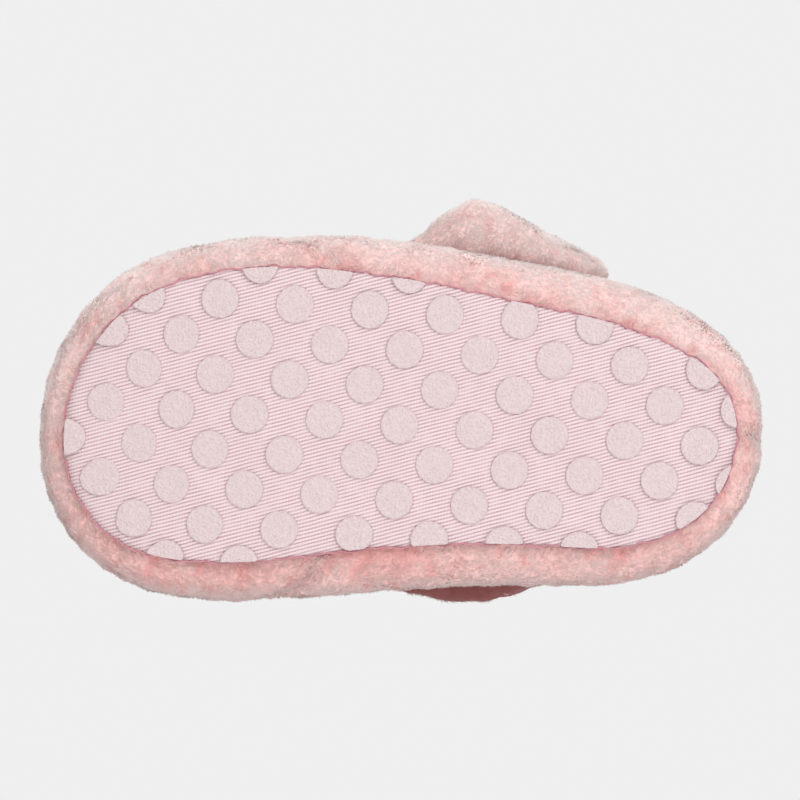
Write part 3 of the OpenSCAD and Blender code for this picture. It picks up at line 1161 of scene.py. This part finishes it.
            faces += [(0, 1 + j, 1 + i), (len(place) - 1, last + i, last + j)]
            for r in range(self.dot_rings - 1):
                a, b = 1 + r * n + i, 1 + r * n + j
                faces += [(a, b, b + n), (a, b + n, a + n)]
        # Painted shadow: the rim number darkens each dot's edge ring.
        near = np.concatenate([np.clip(edge * 1.6 - 0.6, 0, 1), [1.0]])
        return place, np.array(faces), near

    @staticmethod
    def _hull(points: np.ndarray) -> np.ndarray:
        """The corners of the smallest convex outline round points in a plane.

        Args:
            points: n x 2 places.

        Returns:
            The corners, in order round the outline.
        """
        ordered = sorted(set(map(tuple, points.round(7))))

        def half(way: Sequence[tuple[float, float]]) -> list[tuple[float, float]]:
            """One side of the outline.

            Args:
                way: The points, sorted one way or the other.

            Returns:
                The corners of that side, without its last.
            """
            kept: list[tuple[float, float]] = []
            for p in way:
                while len(kept) > 1:
                    (ax, ay), (bx, by) = kept[-2], kept[-1]
                    if (bx - ax) * (p[1] - ay) - (by - ay) * (p[0] - ax) > 0:
                        break
                    kept.pop()
                kept.append(p)
            return kept[:-1]
        return np.array(half(ordered) + half(ordered[::-1]))

    def _seam(self) -> None:
        """The wavy thread between the fabric and the plush."""
        count = self.thread_rings
        loop = closed_curve(self.outline, count)
        ahead = np.roll(loop, -1, 0) - np.roll(loop, 1, 0)
        out = np.column_stack([ahead[:, 1], -ahead[:, 0]])
        out /= np.linalg.norm(out, axis=1, keepdims=True)
        beat = np.arange(count) / count * 2 * math.pi
        stitch = beat * self.stitches
        sway = 0.07 * np.sin(stitch) + 0.13 * np.sin(beat * 37 + 1.3) + 0.1 * np.sin(beat * 71)
        flat = loop + out * (0.1 + sway)[:, None] * MM
        height = self.low_z(loop[:, 0]) + (0.42 + 0.08 * np.cos(stitch)) * MM
        swell = self.thread * (0.85 + 0.3 * np.abs(np.sin(stitch)))
        made = ring_bar("sole_seam_stitching", np.column_stack([flat, height]), swell, 6)
        dress(made, made_once(SEAM_THREAD))
        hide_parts("sole_seam_thread")
        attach(made, Body.UPPER.value)
        LOG.info("sole_seam_stitching: %d rings", count)

    def _inside(self) -> None:
        """The foam keeps its CAD shape; the insole is a brushed pad."""
        dress(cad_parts["midsole_foam"], made_once(FOAM))
        pad = copy_of_nodes("insole_pad", ["insole"], 2)
        remesh(pad, 0.9 * MM, 3)
        rest, lift = points_of(pad), normals_of(pad)
        move_points(pad, rest + lift * (0.22 * MM * waves(rest, 3.5 * MM, 21, 3))[:, None])
        dress(pad, made_once(INSOLE))
        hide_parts("insole")
        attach(pad, Body.UPPER.value)
        LOG.info("insole_pad: %d points", len(rest))


# --------------------------------------------------------------------------- the upper


@dataclass
class PlushPanel:
    """One padded plush panel: its base, puffed out between its seams, and the pile on it."""

    name: str
    nodes: tuple[str, ...]
    seed: int
    backing: tuple[str, ...]
    seams: tuple[str, ...]
    near: tuple[str, ...]
    bare: float = 1.0 * MM
    voxel: float = 1.3 * MM
    puff: float = 0.9 * MM
    swell: float = 2.1 * MM
    tuft: float = 0.19 * MM
    lap: float = 1.25 * MM
    seam_reach: float = 4 * MM
    backing_reach: float = 2.4 * MM
    lap_reach: float = 1.8 * MM
    pressure: float = 4
    frames: int = 20
    fill: float = 0.6
    left_out: tuple[str, ...] = ()
    join: Callable[[], np.ndarray] | None = None
    bald: Callable[[bpy.types.Object], np.ndarray] | None = None
    shape: Callable[[np.ndarray], np.ndarray] | None = None
    pile: Pile = field(default_factory=Pile)

    def build(self) -> tuple[bpy.types.Object, bpy.types.Object]:
        """Builds the padded base and its pile.

        Returns:
            The base and the pile, not yet riding on anything.
        """
        base = copy_of_nodes(self.name, self.nodes, 1)
        if self.join:
            move_points(base, points_of(base) + self.join())
        remesh(base, self.voxel, 3)
        self._inflate(base)
        rounding = base.modifiers.new("rounding", "SUBSURF")
        rounding.levels = rounding.render_levels = 1
        apply_modifiers(base)
        rest, lift = points_of(base), normals_of(base)
        seams = distance_to(("outsole_fabric",), rest, self.seam_reach) / self.seam_reach
        others = distance_to(self.near, rest, self.seam_reach) / self.seam_reach
        backing = distance_to(self.backing, rest, self.backing_reach) / self.backing_reach
        room = np.minimum(np.minimum(seams, others), backing)
        room = room * room * (3 - 2 * room)
        fullness = self.shape(rest) if self.shape else 1.0
        meeting = [n for n in self.seams if n != "outsole_fabric"]
        meet = 1 - distance_to(meeting, rest, self.lap_reach) / self.lap_reach
        relief = self.swell * room * fullness + self.tuft * nap(rest) * np.minimum(1, 3 * room)
        relief = np.maximum(relief, self.lap * meet * (3 - 2 * meet))
        move_points(base, rest + lift * relief[:, None])
        # Coral ground, and painted shade on the inner side.
        give_number(base, "coral_and_side_shade", GROUND_AND_SIDE_SHADE.at(rest, distance_to(self.near, rest, NEIGHBOUR_REACH)))
        dress(base, made_once(PLUSH_BACK))
        pile = self.pile.grow(
            base, self.name + "_pile", self.seed, self.backing, self.bare, self.near,
            self.bald(base) if self.bald else None, [n for n in self.seams if n in SHELL])
        dress(pile, made_once(PLUSH_PILE))
        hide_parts(*[n for n in self.nodes if n not in self.left_out])
        LOG.info("%s: %d points", self.name, len(rest))
        return base, pile

    def _inflate(self, base: bpy.types.Object) -> None:
        """Puffs the base out like filled cloth that is held at its seams and its backing.

        Args:
            base: The remeshed panel.
        """
        scene = bpy.context.scene
        rest, lift = points_of(base), normals_of(base)
        backing = distance_to(self.backing, rest, 1.6 * MM) < 1.5 * MM
        seams = distance_to(self.seams, rest, 2.0 * MM) < 1.4 * MM
        others = distance_to(self.near, rest, 3.0 * MM) < 2.6 * MM
        held = backing | seams | others
        move_points(base, rest - lift * np.where(held, 0, 0.2 * MM)[:, None])
        group = base.vertex_groups.new(name="held")
        group.add(np.flatnonzero(held).tolist(), 1.0, "REPLACE")
        cloth = base.modifiers.new("cloth", "CLOTH")
        cloth.point_cache.frame_start, cloth.point_cache.frame_end = 1, self.frames
        settings = cloth.settings
        settings.use_pressure = True
        settings.uniform_pressure_force = self.pressure
        settings.vertex_group_mass = "held"
        settings.effector_weights.gravity = 0
        settings.tension_stiffness = settings.compression_stiffness = 15
        settings.bending_stiffness = 0.5
        settings.air_damping = 2
        cloth.collision_settings.use_self_collision = False
        for frame_number in range(1, self.frames + 1):
            scene.frame_set(frame_number)
        evaluated = base.evaluated_get(bpy.context.evaluated_depsgraph_get())
        blown = points_of(evaluated)
        base.modifiers.clear()
        base.vertex_groups.clear()
        scene.frame_set(1)
        move = blown - rest
        far = np.linalg.norm(move, axis=1, keepdims=True)
        share = np.minimum(1, self.puff / np.maximum(far, TINY))
        move_points(base, rest + move * share)
        LOG.info("%s: puffed at most %.2f mm", self.name, float((far * share).max()) / MM)
        calm = base.modifiers.new("calm", "SMOOTH")
        calm.factor, calm.iterations = 0.5, 3
        apply_modifiers(base)


_MADE: dict[str, bpy.types.Material] = {}


def made_once(finish: Finish) -> bpy.types.Material:
    """The material of a finish, made on first use and shared from then on.

    Args:
        finish: The finish.

    Returns:
        Its material.
    """
    if finish.name not in _MADE:
        _MADE[finish.name] = finish.material()
    return _MADE[finish.name]


def fleece_copy(name: str, node: str, finish: Finish, body: Body) -> bpy.types.Object:
    """A brushed cloth piece on the shape of one CAD node.

    Args:
        name: The new piece's name.
        node: The CAD node that it stands for.
        finish: Its finish.
        body: The body that it rides on.

    Returns:
        The new piece.
    """
    made = copy_of_nodes(name, [node], 2)
    rest, lift = points_of(made), normals_of(made)
    move_points(made, rest + lift * (0.1 * MM * waves(rest, 5 * MM, 31, 2))[:, None])
    dress(made, made_once(finish))
    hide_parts(node)
    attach(made, body.value)
    LOG.info("%s: %d points", name, len(rest))
    return made


def sunk_stitches(name: str, node: str, cloth: bpy.types.Object) -> bpy.types.Object:
    """Round thread stitches drawn down into a cloth's surface.

    Args:
        name: The new piece's name.
        node: The CAD node that holds the stitches.
        cloth: The piece that they are sewn through.

    Returns:
        The new piece.
    """
    source = bmesh.new()
    source.from_mesh(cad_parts[node].data)
    bmesh.ops.remove_doubles(source, verts=source.verts, dist=MERGE)
    skin = BVHTree.FromPolygons(points_of(cloth).tolist(), triangles_of(cloth).tolist())
    points, faces = [], []
    sides, rings, radius = 6, 7, 0.2 * MM
    bulge, sunk = 0.12 * MM, 0.15 * MM
    taper = radius * np.array([0.5, 0.9, 1, 1, 1, 0.9, 0.5])
    for solid in islands_of(source):
        middle = solid.mean(0)
        _, _, axes = np.linalg.svd(solid - middle)
        reach = np.abs((solid - middle) @ axes[0]).max()
        steps = np.linspace(-reach, reach, rings)
        line = np.array([skin.find_nearest(Vector(middle + axes[0] * t))[0] for t in steps])
        up = np.array(skin.find_nearest(Vector(middle))[1])
        line += up * (bulge * (1 - (steps / reach) ** 4) - sunk)[:, None]
        across = np.cross(axes[0], up)
        turn = np.arange(sides) * 2 * math.pi / sides
        ring = across * np.cos(turn)[:, None] + up * np.sin(turn)[:, None]
        start = sum(len(p) for p in points)
        points.append((line[:, None] + ring[None] * taper[:, None, None]).reshape(-1, 3))
        for i in range(rings - 1):
            for j in range(sides):
                a, b = start + i * sides + j, start + i * sides + (j + 1) % sides
                faces += [(a, b, b + sides), (a, b + sides, a + sides)]
        for j in range(1, sides - 1):
            last = start + (rings - 1) * sides
            faces += [(start, start + j + 1, start + j), (last, last + j, last + j + 1)]
    source.free()
    made = new_piece(name, np.vstack(points), np.array(faces))
    dress(made, made_once(SEAM_THREAD))
    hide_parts(node)
    LOG.info("%s: %d stitches", name, len(points))
    return made


STRAP_NODES = ("strap_root", "strap_face", "strap_core", "strap_lining")
SHELL = ("vamp", "quarter_lateral", "quarter_medial")


@dataclass
class Upper:
    """Vamp, quarters, ankle binding and lining."""

    def build(self) -> None:
        """Builds and dresses the upper's pieces."""
        strap = STRAP_NODES + ("hook_tape", "loop_tape", "tongue_face")
        panels = [
            PlushPanel("vamp_plush", ("vamp", "vamp_wadding"), 101, ("vamp_lining", "midsole_foam"),
                       ("quarter_lateral", "quarter_medial", "outsole_fabric"), strap),
            PlushPanel("quarter_lateral_plush", ("quarter_lateral",), 102,
                       ("quarter_wadding", "midsole_foam"),
                       ("vamp", "quarter_medial", "outsole_fabric", "collar_binding"), strap,
                       bare=0.6 * MM),
            PlushPanel("quarter_medial_plush", ("quarter_medial",), 103,
                       ("quarter_wadding", "midsole_foam"),
                       ("vamp", "quarter_lateral", "outsole_fabric", "collar_binding"), strap,
                       bare=0.6 * MM),
            PlushPanel("ankle_binding_plush", ("collar_binding",), 104, (),
                       ("quarter_lateral", "quarter_medial"), strap, puff=0.4 * MM),
        ]
        for panel in panels:
            for piece in panel.build():
                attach(piece, Body.UPPER.value)
        dress(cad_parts["quarter_wadding"], made_once(WADDING))
        for node in ("vamp_lining", "quarter_lining"):
            fleece_copy(node + "_fleece", node, LINING, Body.UPPER)
        for node in ("heel_seam_tape", "loop_tape"):
            dress(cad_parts[node], made_once(TAPE))
        dress(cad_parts["loop_tape_stitches"], made_once(SEAM_THREAD))


@dataclass
class Strap:
    """The plush strap, from its sewn root round to its tip, with its hook tape."""

    bend: float = 4.0 * MM
    fold_gap: float = 0.7 * MM
    overlap: float = 1.6
    along_mm: tuple[float, ...] = (-42, -38, -33, -27, -20, -15, -12.5, -10, -7, -4, -2)
    outer_full: tuple[float, ...] = (0.5, 0.5, 0.35, 0.31, 0.66, 1.0, 0.97, 0.68, 0.3, 0.0, -0.2)
    inner_mm: tuple[float, ...] = (-30, -24, -18)
    inner_full: tuple[float, ...] = (0.35, 0.3, -0.1)
    calm_rounds: int = 10
    lining_lift: float = 0.08 * MM
    lining_thick: float = 0.25 * MM

    def build(self) -> None:
        """Builds and dresses the strap's pieces."""
        panel = PlushPanel(
            "strap_plush", STRAP_NODES, 106, (), (), SHELL + ("loop_tape", "tongue_face", "hook_tape"),
            voxel=1.0 * MM, puff=0.4 * MM, swell=2.9 * MM, left_out=("strap_lining",),
            bald=self._lining_and_shade_mask, shape=self._fullness)
        self._close_fold(panel)
        start, end = self._fold()
        base, pile = panel.build()
        under = self._shaded_underside(base)
        stitches = [sunk_stitches("strap_root_seam", "strap_root_stitches", base),
                    sunk_stitches("strap_tip_seam", "hook_tape_stitches", base)]
        for piece in (base, pile, under):
            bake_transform(piece)
        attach(stitches[0], Body.UPPER.value)
        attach(stitches[1], Body.STRAP.value)
        dress(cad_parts["hook_tape"], made_once(TAPE))

    def _fullness(self, points: np.ndarray) -> np.ndarray:
        """How full the strap is stuffed: fullest at its bow, slack at its front edge.

        Args:
            points: n x 3 places on the strap.

        Returns:
            A share of the swell for each point.
        """
        x, y = points[:, 0] / MM, points[:, 1] / MM
        full = np.interp(x, self.along_mm, self.outer_full)
        outer = 1 / (1 + np.exp(-(y - 12) / 4))
        inner = np.interp(y, self.inner_mm, self.inner_full)
        return outer * full + (1 - outer) * inner

    def _lining_and_shade_mask(self, base: bpy.types.Object) -> np.ndarray:
        """Where the strap shows its dark lining sheet instead of plush; on the inner side the sheet
        stands for painted shade.

        Args:
            base: The strap's padded plush.

        Returns:
            For each point, 1 on the side that faces the shoe and, on the inner side, on faces turned
            down, which carry painted shade; 0 on the plush side.
        """
        points, normals = points_of(base), normals_of(base)
        inner = points[:, 1] < 0
        lining_and_shade = faces_towards(SHELL, points, normals, 0.8)
        # Painted shade: on the inner side the dark sheet also covers faces turned down.
        lining_and_shade |= inner & ((normals[:, 2] < 0.05) | faces_towards(SHELL, points, normals))
        ends = np.zeros(len(base.data.edges) * 2, np.int32)
        base.data.edges.foreach_get("vertices", ends)
        a, b = ends.reshape(-1, 2).T
        value = lining_and_shade.astype(float)
        joined = np.bincount(a, minlength=len(value)) + np.bincount(b, minlength=len(value))
        for _ in range(self.calm_rounds):
            total = np.bincount(a, value[b], len(value)) + np.bincount(b, value[a], len(value))
            value = 0.5 * value + 0.5 * total / np.maximum(joined, 1)
        return value

    def _shaded_underside(self, base: bpy.types.Object) -> bpy.types.Object:
        """The lining on the side of the strap that faces the shoe, and on the inner side over faces
        turned down; its near-black rose finish is painted shade.

        Args:
            base: The strap's padded plush.

        Returns:
            A thin closed sheet that follows the base.
        """
        sheet = bmesh.new()
        sheet.from_mesh(base.data)
        sheet.normal_update()
        bald = self._lining_and_shade_mask(base)
        keep = [np.mean([bald[v.index] for v in f.verts]) >= 0.5 for f in sheet.faces]
        bmesh.ops.delete(sheet, geom=[f for f, k in zip(sheet.faces[:], keep) if not k], context="FACES")
        for vert in sheet.verts:
            vert.co += vert.normal * self.lining_lift
        mesh = bpy.data.meshes.new("strap_underside_painted_shade")
        sheet.to_mesh(mesh)
        sheet.free()
        made = bpy.data.objects.new("strap_underside_painted_shade", mesh)
        bpy.context.scene.collection.objects.link(made)
        thick = made.modifiers.new("thickness", "SOLIDIFY")
        thick.thickness, thick.offset = self.lining_thick, -1
        apply_modifiers(made)
        # Painted shade: the sheet's near-black rose.
        dress(made, made_once(STRAP_SHADE_BACKING))
        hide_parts("strap_lining")
        LOG.info("strap_underside_painted_shade: %d points", len(made.data.vertices))
        return made

    def _fold_step(self) -> np.ndarray:
        """The way across the fold, from the sewn root to the free strap.

        Returns:
            One move.
        """
        root = points_of(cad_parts["strap_root"])
        tree = tree_of(["strap_face"])
        gaps = [(tree.find_nearest(Vector(p)), p) for p in root]
        close = [(np.array(hit[0]), p) for hit, p in gaps if hit[3] < self.fold_gap]
        return np.mean([hit - p for hit, p in close], 0)

    def _fold(self) -> tuple[np.ndarray, np.ndarray]:
        """The two places between which the strap bends.

        Returns:
            A point just before the fold and a point just after it.
        """
        way = self._fold_step()
        way = way / np.linalg.norm(way)
        tree = tree_of(["strap_face"])
        root = points_of(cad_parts["strap_root"])
        beside = [p for p in root if tree.find_nearest(Vector(p), self.fold_gap)[0] is not None]
        middle = np.mean(beside, 0)
        return middle - way * self.bend, middle + way * self.bend

    def _close_fold(self, panel: PlushPanel) -> None:
        """Makes the panel's copy of the sewn root reach the free strap, so that they join.

        Args:
            panel: The strap's plush panel.
        """
        step = self._fold_step()
        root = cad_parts["strap_root"]
        tree = tree_of(["strap_face"])

        def reach() -> np.ndarray:
            """How far each point of the joined copy moves.

            Returns:
                n x 3 moves.
            """
            base = bpy.data.objects[panel.name]
            places = points_of(base)
            own = tree_of([root.name])
            moves = np.zeros_like(places)
            for i, place in enumerate(places):
                on_root = own.find_nearest(Vector(place), 0.3 * MM)[0] is not None
                if on_root and tree.find_nearest(Vector(place), 0.8 * MM)[0] is not None:
                    moves[i] = step * self.overlap
            return moves
        panel.join = reach


@dataclass
class Tongue:
    """The padded tongue in the front slot."""

    bend: float = 8.0 * MM

    def build(self) -> None:
        """Builds and dresses the tongue's pieces."""
        panel = PlushPanel(
            "tongue_plush", ("tongue_face",), 107, ("tongue_lining",), (), SHELL + STRAP_NODES,
            bare=0.5 * MM, voxel=0.9 * MM, puff=0.4 * MM)
        for piece in panel.build():
            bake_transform(piece)
        fleece_copy("tongue_underside", "tongue_lining", LINING, Body.TONGUE)


# --------------------------------------------------------------------------- the studio


@dataclass(frozen=True)
class Lamp:
    """A square soft light that faces the bootie."""

    name: str
    place: tuple[float, float, float]
    size: float
    power: float
    target: tuple[float, float, float] = (0, 0, 0.03)

    def hang(self) -> None:
        """Puts the light in the scene, hidden from the camera."""
        data = bpy.data.lights.new(self.name, "AREA")
        data.size, data.energy = self.size, self.power
        made = bpy.data.objects.new(self.name, data)
        made.location = self.place
        way = Vector(self.target) - Vector(self.place)
        made.rotation_euler = way.to_track_quat("-Z", "Y").to_euler()
        made.visible_camera = False
        bpy.context.scene.collection.objects.link(made)


LAMPS = (
    Lamp("key_below", (-0.25, 0.6, -0.6), 0.7, 3.8),
    Lamp("front_below", (-0.3, 0.1, -1.0), 0.6, 2.2),
    Lamp("fill_low", (-0.1, -0.7, -0.45), 0.8, 2.2),
    Lamp("key_above", (0.2, 0.55, 0.9), 0.7, 7.0),
)


@dataclass
class Studio:
    """Pale floor, soft light and the camera under the sole."""

    distance: float = 0.6
    lens: float = 158.8
    aim: tuple[float, float] = (-0.1 * MM, 3.9 * MM)
    floor_z: float = -0.9
    floor_half: float = 3.0
    floor_dark: Colour = (0.83, 0.83, 0.83)
    floor_pale: Colour = (0.85, 0.85, 0.85)
    backdrop: Colour = (0.865, 0.865, 0.865)
    sky: Colour = (1, 0.985, 0.98)
    ambient: float = 0.78

    def build(self) -> None:
        """Builds the stage, the lights and the camera."""
        self._camera()
        self._world()
        self._floor()
        for lamp in LAMPS:
            lamp.hang()

    def _camera(self) -> None:
        """A camera that looks straight up at the sole, with the toe at its left."""
        data = bpy.data.cameras.new("camera")
        data.lens = self.lens
        data.sensor_width = 36
        made = bpy.data.objects.new("camera", data)
        made.location = (*self.aim, -self.distance)
        made.rotation_euler = (0, math.pi, 0)
        bpy.context.scene.collection.objects.link(made)
        bpy.context.scene.camera = made

    def _world(self) -> None:
        """A plain pale surround that lights the object less than it shows."""
        world = bpy.data.worlds.new("surround")
        bpy.context.scene.world = world
        world.use_nodes = True
        tree = world.node_tree
        tree.nodes.clear()
        kinds = ("Background", "Background", "LightPath", "MixShader", "OutputWorld")
        seen, lighting, path, mix, out = (tree.nodes.new("ShaderNode" + kind) for kind in kinds)
        seen.inputs[0].default_value = (*self.backdrop, 1)
        lighting.inputs[0].default_value = (*self.sky, 1)
        lighting.inputs[1].default_value = self.ambient
        tree.links.new(path.outputs["Is Camera Ray"], mix.inputs[0])
        tree.links.new(lighting.outputs[0], mix.inputs[1])
        tree.links.new(seen.outputs[0], mix.inputs[2])
        tree.links.new(mix.outputs[0], out.inputs[0])
        view = bpy.context.scene.view_settings
        view.view_transform, view.look = "Standard", "None"

    def _floor(self) -> None:
        """A wide pale floor far below, clear of the camera's view of the sole."""
        square = ((-1, -1), (1, -1), (1, 1), (-1, 1))
        corners = [(x * self.floor_half, y * self.floor_half, self.floor_z) for x, y in square]
        made = new_piece("floor", np.array(corners), np.array([[0, 1, 2, 3]]), False)
        s = Shader("floor_paint")
        paint = s.blend(s.noise(0.3), self.floor_dark, self.floor_pale)
        s.feed(s.surface.inputs["Base Color"], paint)
        s.surface.inputs["Roughness"].default_value = 0.9
        dress(made, s.material)


def main() -> None:
    """Builds the bootie piece by piece."""
    logging.basicConfig(level=logging.INFO, format="%(name)s %(message)s")
    Studio().build()
    Sole().build()
    Upper().build()
    Strap().build()
    Tongue().build()


if __name__ == "__main__":
    main()
